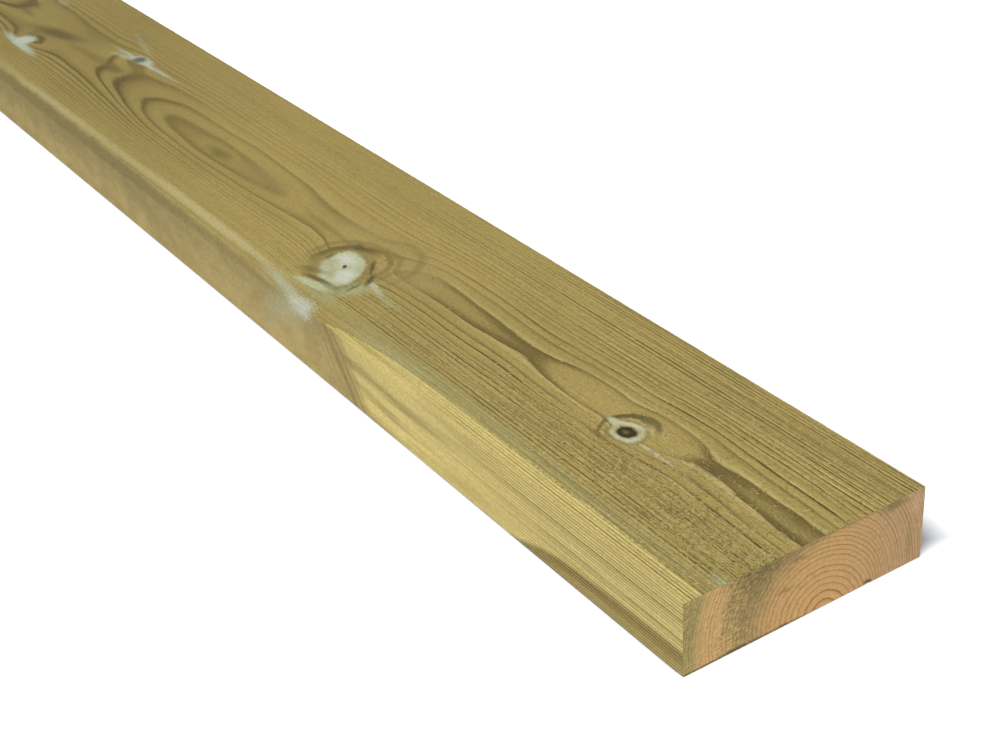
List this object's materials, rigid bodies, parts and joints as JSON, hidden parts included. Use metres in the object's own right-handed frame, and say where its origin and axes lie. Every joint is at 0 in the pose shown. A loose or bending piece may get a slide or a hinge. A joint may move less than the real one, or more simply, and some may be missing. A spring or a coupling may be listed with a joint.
{
  "type": "wood cladding board",
  "caption": "Rough-sawn pressure-treated pine board of rectangular section with square-trimmed ends and a slight wane along one arris, for cladding walls and fences.",
  "frame": {"origin": "middle of the flat back face, which lies on the floor", "axes": "+X along the length towards the freshly trimmed end, +Y across the width away from the waney edge, +Z out of the front face"},
  "size_m": [1.8, 0.12, 0.034],
  "materials": {
    "treated_pine": "rough-sawn softwood, green-tinted by pressure treatment"
  },
  "bodies": {
    "root": {"board": "treated_pine"}
  },
  "joints": []
}
